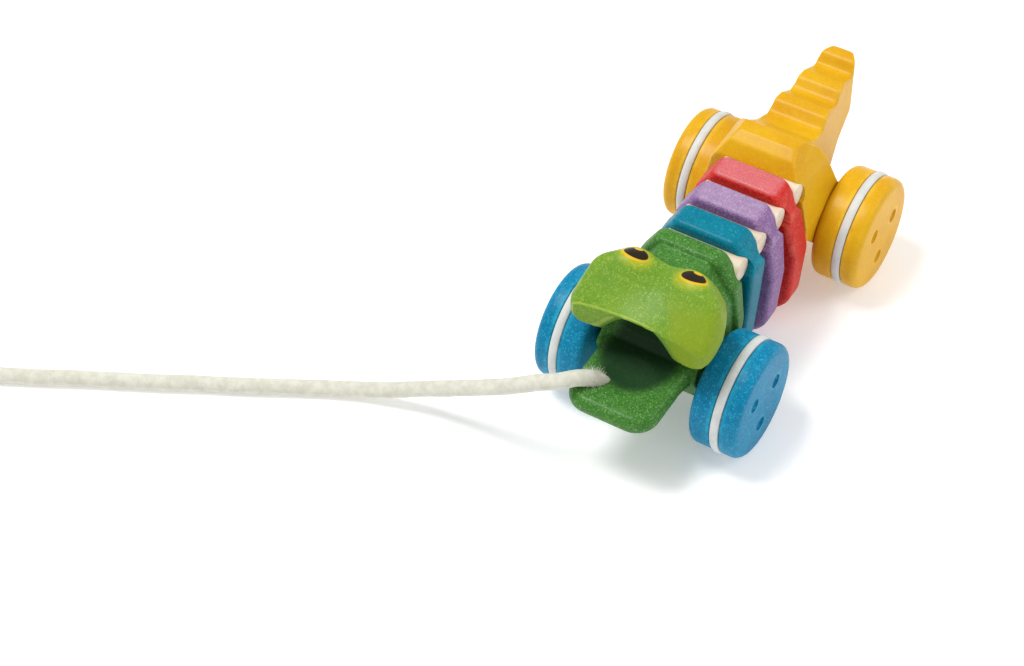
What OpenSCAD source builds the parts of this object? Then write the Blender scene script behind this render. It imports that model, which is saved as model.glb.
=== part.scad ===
// Wooden pull-along alligator: a head and a tail on wheels, joined by three body
// segments that rock on cross dowels. +X is forward, +Y is the toy's left, +Z is up.
// The origin is on the floor, under the middle of the toy's length.

/* [Wheels] */
// Outside diameter of the rubber bands that the toy rolls on
band_d = 52.4; // [50:0.2:55]
// How far a band stands proud of the wooden tread
band_proud = 0.7; // [0.4:0.1:1.2]
// Width of a rubber band
band_w = 3.8; // [3:0.1:5]
// Width of a wooden wheel
wheel_w = 22.5; // [18:0.5:24]
// Distance from the wheel's outer face to the middle of its band
band_from_outside = 9.8; // [8:0.1:11]
// Overall width over the wheels
track_w = 96; // [94:1:104]
// Distance from the front axle to the rear axle
wheelbase = 111; // [109:1:113]
// Diameter of the wooden axles
axle_d = 8; // [7:0.5:9]

/* [Segments] */
// Distance from one pivot dowel to the next
pitch = 16.5; // [16:0.1:17]
// Gap between two neighbouring pieces of the body, at the pivot
gap = 3.4; // [2.5:0.1:4]
// Height of the flat back above the floor
back_z = 75.8; // [74:0.2:77]
// Height of the underside of the segments above the floor
belly_z = 5; // [4:0.5:8]
// How much each flat face leans inwards by the belly, to let the body rock
face_lean = 1; // [0.5:0.1:1.5]
// Bevel around the edges of a segment
edge_bevel = 2; // [1:0.1:3]

/* [Dowels] */
// Diameter of the pivot dowels
dowel_d = 10; // [9:0.5:11]
// Length of the pivot dowels
dowel_l = 38; // [36:1:40]
// Height of the pivot dowels' axis above the floor
dowel_z = 65.8; // [65:0.2:67]

/* [Cords] */
// Diameter of the pull cord
cord_d = 7; // [6:0.5:8]
// Diameter of the link cord that holds the segments together
link_d = 4; // [3:0.5:5]
// Height of the link cord above the floor
link_z = 40; // [36:1:44]

/* [Hidden] */
$fn = 48;

// Running clearance of everything that turns, and clearance around the link cord
run = 0.08;
cord_play = 0.6;

// Axles
front_x = 58.5;
rear_x = front_x - wheelbase;
axle_z = band_d / 2;
tread_r = band_d / 2 - band_proud;
wheel_inner_y = track_w / 2 - wheel_w;
axle_l = 2 * (wheel_inner_y + 15);
edge_r = 3.5;
band_depth = 3;
dimple_r = 3.2;
dimple_orbit = 11;
dimple_depth = 1.6;

// Stations of the pivots along the body, from the neck to the tail
pivot_1 = 30;
// How far the segments and the dowels have slid to the toy's left
body_shift = 2;
function pivot_x(k) = pivot_1 - (k - 1) * pitch;
function front_face(k) = pivot_x(k) - gap / 2;
function rear_face(k) = pivot_x(k) + gap / 2;
groove_r = dowel_d / 2;
link_hole_r = link_d / 2 + cord_play;
link_pocket_r = 5.5;

// Widest half-widths of the pieces of the body
neck_w = 25;
teal_w = 22;
purple_w = 24.8;
red_w = 27;

// Colours of the paint, the bare wood, the rubber and the cotton
lime = [0.55, 0.68, 0.18];
leaf = [0.22, 0.53, 0.20];
teal = [0.00, 0.48, 0.60];
purple = [0.50, 0.34, 0.58];
red = [0.80, 0.13, 0.13];
yellow = [0.92, 0.68, 0.12];
blue = [0.00, 0.50, 0.70];
bare_wood = [0.93, 0.88, 0.80];
rubber_white = [0.84, 0.85, 0.83];
cotton = [0.90, 0.90, 0.83];

// Draws a profile (x, z) as a solid of the given width across the toy
module across_y(width) rotate([90, 0, 0]) linear_extrude(width, center = true) children();

// Draws a profile (y, z) as a solid from x0 to x1 along the toy
module along_x(x0, x1) translate([x0, 0, 0]) rotate([90, 0, 90]) linear_extrude(x1 - x0) children();

// Draws a profile (x, y) as a solid that is tall enough for the whole toy
module through_z() linear_extrude(100) children();

// Two round corners of a profile, one on each side of the middle
module corner_pair(y, z, r) for (side = [-1, 1]) translate([side * y, z]) circle(r);

// Rounds the outward and the inward corners of a profile
module rounded(r) offset(r) offset(delta = -2 * r) offset(r) children();

// Cross-section of a body piece: flat back, sloping shoulders, full sides
module body_section(half_w) hull() {
    corner_pair(11.5, back_z - 6, 6);
    corner_pair(14.5, 60, 8.5);
    corner_pair(half_w - 15.5, 42, 15.5);
    corner_pair(half_w - 17.5, belly_z + 16, 16);
}

// A slab of that cross-section from x0 to x1, bevelled along all its edges
module body_slab(x0, x1, half_w) hull() {
    along_x(x0 + edge_bevel, x1 - edge_bevel) body_section(half_w);
    along_x(x0, x1) offset(delta = -edge_bevel) body_section(half_w);
}

// A cylinder across the toy
module cross_cylinder(x, z, r, l, y0 = 0) translate([x, y0, z]) rotate([90, 0, 0]) cylinder(r = r, h = l, center = true);

// A cylinder along the toy, from x0 to x1
module long_cylinder(x0, x1, z, r) translate([x0, 0, z]) rotate([0, 90, 0]) cylinder(r = r, h = x1 - x0);

// The seat of a pivot dowel: the dowel's front half is glued, its rear half runs free
module glued_seat(k) cross_cylinder(pivot_x(k), dowel_z, groove_r, 4 * neck_w);
module running_seat(k) cross_cylinder(pivot_x(k), dowel_z, groove_r + run, 4 * neck_w);

// One body segment, between pivot k in front of it and pivot k + 1 behind it
module segment(k, half_w) {
    x1 = front_face(k);
    x0 = rear_face(k + 1);
    difference() {
        intersection() {
            translate([0, body_shift, 0]) body_slab(x0, x1, half_w);
            across_y(4 * half_w) polygon([
                [x0 + face_lean, 0], [x1 - face_lean, 0], [x1, dowel_z - groove_r],
                [x1, 2 * back_z], [x0, 2 * back_z], [x0, dowel_z - groove_r]
            ]);
        }
        running_seat(k);
        glued_seat(k + 1);
        long_cylinder(x0 - 1, x1 + 1, link_z, link_hole_r);
    }
}
module teal_segment() color(teal) segment(1, teal_w);
module purple_segment() color(purple) segment(2, purple_w);
module red_segment() color(red) segment(3, red_w);

// Pivot dowels, glued into the piece in front of them
module pivot_dowel(k) color(bare_wood)
    cross_cylinder(pivot_x(k), dowel_z, dowel_d / 2, dowel_l, body_shift);

// Lower jaw and neck: one block that carries the front axle and the pull cord
jaw_tip_x = 106.5;
jaw_top_z = 43;
jaw_under_z = 34;
jaw_half_w = 19.5;
jaw_corner_r = 8;
throat_x = 66;
cord_exit = [93, -9, jaw_top_z];
cord_foot = [85.5, 0, jaw_under_z - 2];
module jaw_side_profile() polygon([
    [36, 12], [58, 12], [66, 22], [72, jaw_under_z], [jaw_tip_x - 2, jaw_under_z],
    [jaw_tip_x, jaw_under_z + 3], [jaw_tip_x, jaw_top_z - 2], [jaw_tip_x - 2, jaw_top_z],
    [throat_x + 5, jaw_top_z], [throat_x + 1, jaw_top_z + 4], [throat_x, 60.5], [58, 67.8], [54, 69.8],
    [52, 72.8], [36, 74.8]
]);
module jaw_plan() {
    translate([30, -24]) square([38, 48]);
    hull() for (side = [-1, 1]) {
        translate([throat_x + 4, side * (jaw_half_w - 4)]) circle(5);
        translate([jaw_tip_x - jaw_corner_r, side * (jaw_half_w - jaw_corner_r)]) circle(jaw_corner_r);
    }
}
module neck_section() hull() {
    corner_pair(8, 69.8, 5);
    corner_pair(10, 54, 12);
    corner_pair(10, 26, 14);
}
module jaw_block() intersection() {
    across_y(60) jaw_side_profile();
    through_z() jaw_plan();
    along_x(30, jaw_tip_x) neck_section();
}
// Hollow that softens the floor of the mouth, and the seat of the knot under the jaw
hollow_r = 39.5;
hollow_depth = 1.5;
knot_seat_r = 7;
module lower_jaw() color(leaf) difference() {
    union() {
        body_slab(rear_face(1), rear_face(1) + 9, neck_w);
        jaw_block();
    }
    cross_cylinder(front_x, axle_z, axle_d / 2 + run, 80);
    glued_seat(1);
    long_cylinder(0, 44, link_z, link_hole_r);
    long_cylinder(40, 60, link_z, link_pocket_r);
    jaw_pin_shape();
    translate([86, 0, jaw_top_z + hollow_r - hollow_depth]) sphere(r = hollow_r);
    cord_line(cord_foot, 2.4, cord_d / 2 + 0.2);
    translate([cord_foot[0], 0, jaw_under_z - 1]) cylinder(r = knot_seat_r, h = 3);
}

// A round bar that starts at a point and runs along the slanting cord hole
cord_run = cord_exit - cord_foot;
cord_lean = acos(cord_run[2] / norm(cord_run));
cord_turn = atan2(cord_run[1], cord_run[0]);
module cord_line(from, reach, r) translate(from) rotate([0, cord_lean, cord_turn]) cylinder(r = r, h = norm(cord_run) + reach);

// Upper jaw: an arched block with two mounds for the eyes
upper_rear_x = 54;
snout_x = 83;
module upper_side_profile() rounded(1.5) polygon([
    [upper_rear_x, 79], [58, 82], [66, 81], [snout_x, 72], [snout_x, 64], [snout_x - 1, 58],
    [74, 57.5], [throat_x, 60.5], [58, 67.8], [upper_rear_x, 69.8]
]);
module upper_front_section() hull() {
    corner_pair(15, 74.5, 8);
    corner_pair(23, 68, 8);
    corner_pair(28.5, 61, 3);
}
module mouth_arch() hull() {
    corner_pair(7, 60.5, 9);
    corner_pair(14, 50, 4);
}
module eye_mound() translate([61, 13.5, 73]) sphere(r = 10.5);
module upper_jaw() color(lime) difference() {
    union() {
        intersection() {
            across_y(80) upper_side_profile();
            along_x(50, 90) upper_front_section();
        }
        eye_mound();
        mirror([0, 1, 0]) eye_mound();
    }
    along_x(throat_x, 90) mouth_arch();
    lower_jaw_seat();
    jaw_pin_shape();
}
// The space of the neck block, which the upper jaw is glued over
module lower_jaw_seat() across_y(100) jaw_side_profile();

// Two pins that locate the upper jaw on the neck block
module jaw_pin_shape() for (side = [-1, 1]) translate([60.5, side * 11, 52]) cylinder(r = 3, h = 20);
module jaw_pins() color(bare_wood) jaw_pin_shape();

// Tail and hips: one block that carries the rear axle
tail_front_x = front_face(4);
tail_plug_x = -76;
tail_tip_x = -106.5;
module hip_side_profile() polygon([
    [tail_front_x, 40], [tail_front_x, 71.5], [-27, 76], [-31, 79.5], [-38, 78.5], [-45, 71],
    [-52, 49], [-63, 37], [-63, 19], [-58, 15], [-44, 15]
]);
module hip_section() hull() {
    corner_pair(11, 76.5, 3);
    corner_pair(15, 65, 6);
    corner_pair(17.5, 45, 8);
    corner_pair(16, 24, 9);
}
module tail_side_profile() polygon([
    [-36, 78.5], [-42, 76], [-48, 71.5], [-57, 69], [-62, 73], [-66, 73.5], [-75, 69.5], [-80, 73],
    [-84, 73.5], [-95, 69.5], [-99, 75], [-102, 76.5], [-105, 75], [tail_tip_x, 70],
    [-104, 57], [-98, 48], [-85, 41], [-75, 30], [-62, 20], [-50, 20], [-36, 40]
]);
module tail_plan() rounded(3) polygon([
    [-30, -14], [-48, -14], [-66, -12], [-84, -9.5], [-99, -8], [tail_tip_x, -5.5],
    [tail_tip_x, 5.5], [-99, 8], [-84, 9.5], [-66, 12], [-48, 14], [-30, 14]
]);
module tail_body() color(yellow) difference() {
    union() {
        intersection() {
            across_y(80) hip_side_profile();
            along_x(-70, tail_front_x) hip_section();
        }
        intersection() {
            across_y(40) tail_side_profile();
            through_z() tail_plan();
        }
    }
    cross_cylinder(rear_x, axle_z, axle_d / 2 + run, 80);
    running_seat(4);
    long_cylinder(-40, 0, link_z, link_hole_r);
    long_cylinder(-100, -38, link_z, link_pocket_r);
}
module tail_plug() color(yellow) long_cylinder(tail_plug_x, tail_plug_x + 6, link_z, link_pocket_r);

// Axles and wheels
module axle(x) color(bare_wood) cross_cylinder(x, axle_z, axle_d / 2, axle_l);
module band_groove_profile(grow) translate([tread_r - band_depth, wheel_w - band_from_outside - band_w / 2 - grow])
    square([band_depth + 2, band_w + 2 * grow]);

// Half of a wheel's cross-section, with round edges on the inner and the outer side
module wheel_profile() difference() {
    hull() {
        square([tread_r - edge_r, wheel_w]);
        for (z = [edge_r, wheel_w - edge_r]) translate([tread_r - edge_r, z]) circle(edge_r);
    }
    translate([-60, -1]) square([60, wheel_w + 2]);
    band_groove_profile(0.1);
}

// A wheel on its side, its outer face up, with three round dimples in that face
module wheel_blank() difference() {
    rotate_extrude($fn = 96) wheel_profile();
    translate([0, 0, -1]) cylinder(r = axle_d / 2, h = 15);
    for (turn = [0, 120, 240]) rotate([0, 0, turn + 40])
        translate([dimple_orbit, 0, wheel_w - dimple_depth]) cylinder(r = dimple_r, h = 2);
}
module band_blank() rotate_extrude($fn = 96) hull() {
    translate([tread_r - band_depth, wheel_w - band_from_outside - band_w / 2]) square([1, band_w]);
    for (side = [-1, 1])
        translate([band_d / 2 - 1, wheel_w - band_from_outside + side * (band_w / 2 - 1)]) circle(1);
}

// Puts a blank on the left (side 1) or the right (side -1) end of the axle at x
module on_axle(x, side) translate([x, side * wheel_inner_y, axle_z]) rotate([side * -90, 0, 0]) children();

// Link cord: one cord through all the segments, with a knot at each end
module link_length(x0, x1) color(cotton) long_cylinder(x0, x1, link_z, link_d / 2);
module knot(at, r) color(cotton) translate(at) sphere(r = r);
link_rear_x = -44;
link_knot_r = 4.6;
link_front_x = 47;

// Route of the pull cord where it isn't coiled, from the knot under the jaw outwards
cord_r = cord_d / 2;
route = [
    cord_foot, [89, -4.5, 37.5], cord_exit, [100, -15, 47], [106, -21.5, 47], [109, -29.5, 44.5],
    [110, -38, 39], [110.5, -48, 32.5], [111, -59, 26], [112, -71, 19.5], [114, -85, 13],
    [117.5, -99, 7.5], [122, -113, 4.5], [128.5, -127, cord_r], [136.5, -142, cord_r],
    [145, -158, cord_r], [152.5, -173, cord_r], [160.5, -188, cord_r], [168, -203, cord_r],
    [176, -219, cord_r], [184, -234, cord_r], [192, -250, cord_r], [200, -265, cord_r],
    [208.5, -281, cord_r], [217, -297, cord_r]
];
coil_r = 44;
route_end = route[len(route) - 1];
route_heading = route_end - route[len(route) - 3];
heading_turn = atan2(route_heading[1], route_heading[0]);
coil_centre = [
    route_end[0] - coil_r * sin(heading_turn), route_end[1] + coil_r * cos(heading_turn), 0
];

// Direction of the route at point i, and a frame across it
function unit(v) = v / norm(v);
function route_dir(i) = unit(route[min(i + 1, len(route) - 1)] - route[max(i - 1, 0)]);
function side_of(d) = unit(cross(d, [0, 0, 1]));
function ring_point(i, a) = let (d = route_dir(i), s = side_of(d))
    route[i] + cord_r * (cos(a) * s + sin(a) * cross(s, d));
tube_sides = 10;
module pull_cord() color(cotton) polyhedron(
    points = [for (i = [0:len(route) - 1], k = [0:tube_sides - 1]) ring_point(i, k * 360 / tube_sides)],
    faces = concat(
        [[for (k = [0:tube_sides - 1]) k]],
        [[for (k = [tube_sides - 1:-1:0]) (len(route) - 1) * tube_sides + k]],
        [for (i = [0:len(route) - 2], k = [0:tube_sides - 1]) let (n = (k + 1) % tube_sides)
            [i * tube_sides + n, i * tube_sides + k, (i + 1) * tube_sides + k, (i + 1) * tube_sides + n]]
    )
);
// Outer shape of the coil: nearly two turns lying beside each other
coil_outer_r = coil_r + cord_r;
coil_wide = 2.75 * cord_d;
coil_inner_r = coil_outer_r - coil_wide;
module cord_coil() color(cotton) translate(coil_centre)
    rotate_extrude($fn = 64) translate([coil_inner_r, 0]) square([coil_wide, cord_d]);

// Tie over the coil, and the knot that ends the cord inside it
tie_wall = 1;
tie_turn = 40;
module coil_tie() color(bare_wood) translate(coil_centre) rotate([0, 0, tie_turn]) difference() {
    translate([coil_inner_r - tie_wall, -2, 0]) cube([coil_wide + 2 * tie_wall, 4, cord_d + tie_wall]);
    rotate_extrude($fn = 64) translate([coil_inner_r, -1]) square([coil_wide, cord_d + 1]);
}
end_knot_r = 5.5;
end_knot_turn = 150;
end_knot_out = coil_inner_r - end_knot_r;
module end_knot() knot(
    coil_centre + [end_knot_out * cos(end_knot_turn), end_knot_out * sin(end_knot_turn), end_knot_r],
    end_knot_r
);

upper_jaw();
lower_jaw();
jaw_pins();
teal_segment();
purple_segment();
red_segment();
tail_body();
tail_plug();
pivot_dowel(1);  // pivot_dowel_1
pivot_dowel(2);  // pivot_dowel_2
pivot_dowel(3);  // pivot_dowel_3
pivot_dowel(4);  // pivot_dowel_4
axle(front_x);  // front_axle
color(blue) on_axle(front_x, 1) wheel_blank();  // front_wheel_left
color(blue) on_axle(front_x, -1) wheel_blank();  // front_wheel_right
color(rubber_white) on_axle(front_x, 1) band_blank();  // front_band_left
color(rubber_white) on_axle(front_x, -1) band_blank();  // front_band_right
axle(rear_x);  // rear_axle
color(yellow) on_axle(rear_x, 1) wheel_blank();  // rear_wheel_left
color(yellow) on_axle(rear_x, -1) wheel_blank();  // rear_wheel_right
color(rubber_white) on_axle(rear_x, 1) band_blank();  // rear_band_left
color(rubber_white) on_axle(rear_x, -1) band_blank();  // rear_band_right
link_length(rear_face(1), link_front_x);  // link_cord_neck
link_length(rear_face(2), front_face(1));  // link_cord_teal
link_length(rear_face(3), front_face(2));  // link_cord_purple
link_length(rear_face(4), front_face(3));  // link_cord_red
link_length(link_rear_x, front_face(4));  // link_cord_tail
knot([link_front_x, 0, link_z], link_knot_r);  // link_knot_front
knot([link_rear_x, 0, link_z], link_knot_r);  // link_knot_rear
knot(cord_foot - [0, 0, 2], end_knot_r);  // cord_knot
pull_cord();
cord_coil();
coil_tie();
end_knot();
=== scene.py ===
"""Looks of the wooden pull-along alligator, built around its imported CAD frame.

Lengths are millimetres, turned into Blender's metres where a mesh is made, unless a note says metres.
+X is forward, +Y is the toy's left and +Z is up, as in the CAD.
"""

import math
import random

import bmesh
import bpy
from mathutils import Matrix, Vector, noise


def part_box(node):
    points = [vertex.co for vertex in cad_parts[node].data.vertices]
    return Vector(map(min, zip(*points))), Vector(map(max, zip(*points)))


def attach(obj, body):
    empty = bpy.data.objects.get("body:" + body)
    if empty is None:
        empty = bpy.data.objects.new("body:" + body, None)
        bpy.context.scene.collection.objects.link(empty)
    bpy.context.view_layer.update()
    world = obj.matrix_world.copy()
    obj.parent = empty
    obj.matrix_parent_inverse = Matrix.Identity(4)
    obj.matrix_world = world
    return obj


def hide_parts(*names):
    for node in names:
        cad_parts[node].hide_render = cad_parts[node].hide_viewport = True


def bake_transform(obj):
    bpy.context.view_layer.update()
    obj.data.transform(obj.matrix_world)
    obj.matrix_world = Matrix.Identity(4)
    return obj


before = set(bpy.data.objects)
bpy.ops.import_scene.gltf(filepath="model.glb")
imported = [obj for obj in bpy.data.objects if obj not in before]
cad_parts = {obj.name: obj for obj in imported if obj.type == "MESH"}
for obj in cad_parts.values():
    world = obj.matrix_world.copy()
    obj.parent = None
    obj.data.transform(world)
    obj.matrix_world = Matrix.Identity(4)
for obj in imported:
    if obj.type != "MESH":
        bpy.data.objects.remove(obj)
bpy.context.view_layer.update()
scene = bpy.context.scene
random.seed(4)
MM = 0.001


def node_middle(name):
    """The middle of a CAD node, to the nearest 0.1 mm, because the frame's meshes are faceted."""
    low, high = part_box(name)
    return [round((a + b) / 2 / MM, 1) for a, b in zip(low, high)]


# ---------------------------------------------------------------- camera

CAMERA_AZIMUTH = 122.6
CAMERA_ELEVATION = 48.0
CAMERA_ROLL = -1.7
CAMERA_DISTANCE = 1090
CAMERA_AIM = Vector((55.6, -75.5, -2.5))
CAMERA_LENS = 87.5
CAMERA_SENSOR = 36


def make_camera():
    """The camera at the photographed viewing angle."""
    azimuth = math.radians(CAMERA_AZIMUTH)
    elevation = math.radians(CAMERA_ELEVATION)
    roll = math.radians(CAMERA_ROLL)
    level = Vector((math.sin(azimuth), -math.cos(azimuth), 0))
    back = level * math.cos(elevation) + Vector((0, 0, math.sin(elevation)))
    level_right = Vector((0, 0, 1)).cross(back).normalized()
    level_up = back.cross(level_right)
    right = level_right * math.cos(roll) + level_up * math.sin(roll)
    up = level_up * math.cos(roll) - level_right * math.sin(roll)
    data = bpy.data.cameras.new("camera")
    data.sensor_width = CAMERA_SENSOR
    data.lens = CAMERA_LENS
    camera = bpy.data.objects.new("camera", data)
    scene.collection.objects.link(camera)
    place = Matrix((right, up, back)).transposed().to_4x4()
    place.translation = (CAMERA_AIM + back * CAMERA_DISTANCE) * MM
    camera.matrix_world = place
    scene.camera = camera


make_camera()


# ---------------------------------------------------------------- mesh tools


def make_object(name, points, faces):
    """A mesh object from points in millimetres, with its normals outwards."""
    mesh = bpy.data.meshes.new(name)
    mesh.from_pydata([tuple(c * MM for c in p) for p in points], [], faces)
    work = bmesh.new()
    work.from_mesh(mesh)
    bmesh.ops.recalc_face_normals(work, faces=work.faces)
    work.to_mesh(mesh)
    work.free()
    ob = bpy.data.objects.new(name, mesh)
    scene.collection.objects.link(ob)
    return ob


def skin(rings, caps=True):
    """Points and faces of a skin over rings that all have the same number of points."""
    count = len(rings[0])
    points = [p for ring in rings for p in ring]
    faces = []
    for row in range(0, len(points) - count, count):
        for k in range(count):
            n = (k + 1) % count
            faces.append((row + k, row + n, row + count + n, row + count + k))
    if caps:
        faces.append(tuple(range(count)))
        faces.append(tuple(range(len(points) - count, len(points))))
    return points, faces


def loft(name, rings):
    """A closed solid over rings that all have the same number of points."""
    return make_object(name, *skin(rings))


def prism(name, outline, axis, low, high):
    """A solid with a flat outline: (x, z) across y, (x, y) up z, or (y, z) along x."""
    place = {
        "x": lambda a, b, t: (t, a, b),
        "y": lambda a, b, t: (a, t, b),
        "z": lambda a, b, t: (a, b, t),
    }[axis]
    return loft(name, [[place(a, b, t) for a, b in outline] for t in (low, high)])


def rounded(outline, radius):
    """The outline with a smooth curve in each corner, as wide as its sides let it be."""
    nearly_straight = math.radians(176)
    most = 0.48
    steps = 6
    result = []
    count = len(outline)
    for i in range(count):
        before, here, after = (Vector(outline[(i + d) % count]) for d in (-1, 0, 1))
        into, out = before - here, after - here
        angle = into.angle(out)
        if angle > nearly_straight:
            result.append(tuple(here))
            continue
        reach = min(radius / math.tan(angle / 2), most * into.length, most * out.length)
        start = here + into.normalized() * reach
        end = here + out.normalized() * reach
        for s in range(steps + 1):
            t = s / steps
            point = start * (1 - t) ** 2 + here * 2 * t * (1 - t) + end * t**2
            result.append(tuple(point))
    return result


def hull_ring(circles, inset, count):
    """Points around the hull of circles (y, z, r), each circle mirrored in y."""
    both = [(side * y, z, r) for y, z, r in circles for side in (-1, 1)]
    ring = []
    for i in range(count):
        turn = 2 * math.pi * i / count
        out = (math.cos(turn), math.sin(turn))
        y, z, r = max(both, key=lambda c: c[0] * out[0] + c[1] * out[1] + c[2])
        ring.append((y + (r - inset) * out[0], z + (r - inset) * out[1]))
    return ring


def apply_modifiers(ob):
    """Leaves the object with the mesh that its modifiers make."""
    graph = bpy.context.evaluated_depsgraph_get()
    mesh = bpy.data.meshes.new_from_object(ob.evaluated_get(graph))
    ob.modifiers.clear()
    ob.data = mesh


def combine(ob, other, operation):
    """Joins, cuts or intersects with another object, which is used up."""
    change = ob.modifiers.new(operation.lower(), "BOOLEAN")
    change.operation = operation
    change.solver = "EXACT"
    change.object = other
    apply_modifiers(ob)
    bpy.data.objects.remove(other)
    return ob


def soften(ob, voxel, passes):
    """Evens the mesh out into small faces and rounds its edges."""
    remesh = ob.modifiers.new("remesh", "REMESH")
    remesh.mode = "VOXEL"
    remesh.voxel_size = voxel * MM
    smooth = ob.modifiers.new("smooth", "SMOOTH")
    smooth.factor = 0.5
    smooth.iterations = passes
    apply_modifiers(ob)
    ob.data.shade_smooth()
    return ob


def circle(x, z, radius, count):
    """Points (x, z) evenly round a circle."""
    turns = [2 * math.pi * k / count for k in range(count)]
    return [(x + radius * math.cos(turn), z + radius * math.sin(turn)) for turn in turns]


def cross_bar(radius, length, x, z, y=0.0):
    """A plain round bar across the toy, to cut with."""
    return prism("cutter", circle(x, z, radius, 64), "y", y - length / 2, y + length / 2)


def turned(name, profile):
    """A shape turned about the y axis, from a closed profile of (radius, y)."""
    count = 144
    points = []
    faces = []
    rows = len(profile)
    for k in range(count):
        turn = 2 * math.pi * k / count
        for radius, y in profile:
            points.append((radius * math.cos(turn), y, radius * math.sin(turn)))
    for k in range(count):
        n = (k + 1) % count
        for j in range(rows):
            m = (j + 1) % rows
            faces.append((k * rows + j, k * rows + m, n * rows + m, n * rows + j))
    return make_object(name, points, faces)


def weld(ob, distance):
    """Merges points within a distance, and drops the edges that this leaves without a face."""
    work = bmesh.new()
    work.from_mesh(ob.data)
    bmesh.ops.remove_doubles(work, verts=work.verts, dist=distance * MM)
    bmesh.ops.delete(work, geom=[e for e in work.edges if e.is_wire], context="EDGES")
    bmesh.ops.recalc_face_normals(work, faces=work.faces)
    work.to_mesh(ob.data)
    work.free()


def smooth_by_angle(ob, degrees=32):
    """Smooth shading, with creases where faces meet at more than this angle."""
    ob.data.shade_smooth()
    ob.data.set_sharp_from_angle(angle=math.radians(degrees))


def finish_piece(ob, material, body, slot, *nodes):
    """Gives a piece its material and its body, and hides the CAD nodes that it stands for."""
    ob.data.materials.clear()
    ob.data.materials.append(material)
    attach(ob, body)
    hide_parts(*nodes)
    return ob


# ---------------------------------------------------------------- materials
#
# Lengths in this section are metres, because a shader's coordinates are.

FORWARD = (1, 0, 0)
LEFT = (0, 1, 0)
UP = (0, 0, 1)


class Graph:
    """A small helper that adds and joins the nodes of one material."""

    def __init__(self, name):
        self.material = bpy.data.materials.new(name)
        self.material.use_nodes = True
        self.tree = self.material.node_tree
        self.shader = self.tree.nodes["Principled BSDF"]
        self.place = self.add("ShaderNodeTexCoord").outputs["Object"]

    def add(self, kind, **settings):
        """A new node with these settings."""
        node = self.tree.nodes.new(kind)
        for key, value in settings.items():
            setattr(node, key, value)
        return node

    def put(self, value, socket):
        """Gives a socket a fixed value, or joins it to the socket that makes the value."""
        if isinstance(value, bpy.types.NodeSocket):
            self.tree.links.new(value, socket)
        else:
            socket.default_value = value

    def math(self, operation, a, b=0.0, clamp=False):
        """The result of one operation on two values."""
        node = self.add("ShaderNodeMath", operation=operation, use_clamp=clamp)
        for value, socket in zip((a, b), node.inputs):
            self.put(value, socket)
        return node.outputs[0]

    def times(self, a, b):
        """The product of two values."""
        return self.math("MULTIPLY", a, b)

    def reach(self, a, b):
        """The length of the flat vector (a, b)."""
        return self.math("SQRT", self.math("ADD", self.times(a, a), self.times(b, b)))

    def noise(self, scale, detail=2.0, rough=0.5, vector=None):
        """Soft noise between 0 and 1."""
        node = self.add("ShaderNodeTexNoise")
        self.put(vector or self.place, node.inputs["Vector"])
        node.inputs["Scale"].default_value = scale
        node.inputs["Detail"].default_value = detail
        node.inputs["Roughness"].default_value = rough
        return node.outputs["Fac"]

    def grains(self, scale):
        """Three random numbers for each small cell of the surface."""
        cells = self.add("ShaderNodeTexVoronoi")
        self.put(self.place, cells.inputs["Vector"])
        cells.inputs["Scale"].default_value = scale
        parts = self.add("ShaderNodeSeparateColor")
        self.put(cells.outputs["Color"], parts.inputs[0])
        return parts.outputs

    def ramp(self, value, low, high, to_low=0.0, to_high=1.0):
        """Goes smoothly from to_low to to_high as the value goes from low to high."""
        node = self.add("ShaderNodeMapRange", interpolation_type="SMOOTHSTEP")
        limits = {"From Min": low, "From Max": high, "To Min": to_low, "To Max": to_high}
        self.put(value, node.inputs["Value"])
        for key, limit in limits.items():
            self.put(limit, node.inputs[key])
        return node.outputs["Result"]

    def mix(self, amount, a, b):
        """Colour a, with an amount of colour b over it. The node's colour sockets have no unique names."""
        node = self.add("ShaderNodeMix", data_type="RGBA")
        self.put(amount, node.inputs["Factor"])
        for color, socket in ((a, node.inputs[6]), (b, node.inputs[7])):
            self.put(color if isinstance(color, bpy.types.NodeSocket) else (*color, 1), socket)
        return node.outputs[2]

    def along(self, direction, offset):
        """How far a point lies along a direction, less an offset."""
        node = self.add("ShaderNodeVectorMath", operation="DOT_PRODUCT")
        self.put(self.place, node.inputs[0])
        node.inputs[1].default_value = direction
        return self.math("SUBTRACT", node.outputs["Value"], offset)

    def stretched(self, scale):
        """The coordinates, scaled along each axis."""
        node = self.add("ShaderNodeMapping")
        self.put(self.place, node.inputs["Vector"])
        node.inputs["Scale"].default_value = scale
        return node.outputs["Vector"]

    def bump(self, height, strength, distance):
        """Makes the surface look uneven."""
        node = self.add("ShaderNodeBump")
        self.put(height, node.inputs["Height"])
        node.inputs["Strength"].default_value = strength
        node.inputs["Distance"].default_value = distance
        self.put(node.outputs["Normal"], self.shader.inputs["Normal"])

    def fix(self, key, value):
        """Sets one of the shader's own sockets."""
        self.shader.inputs[key].default_value = value

    def finish(self, color, roughness):
        """Joins the colour and roughness to the shader, and returns the material."""
        self.put(color, self.shader.inputs["Base Color"])
        self.put(roughness, self.shader.inputs["Roughness"])
        return self.material


EYE_X = 0.0585
EYE_Y = 0.0132
EYE_LOWEST = 0.0775
EYE_YELLOW = (0.72, 0.60, 0.02)
EYE_ORANGE = (0.72, 0.44, 0.015)
PUPIL_BROWN = (0.020, 0.014, 0.008)


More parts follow.
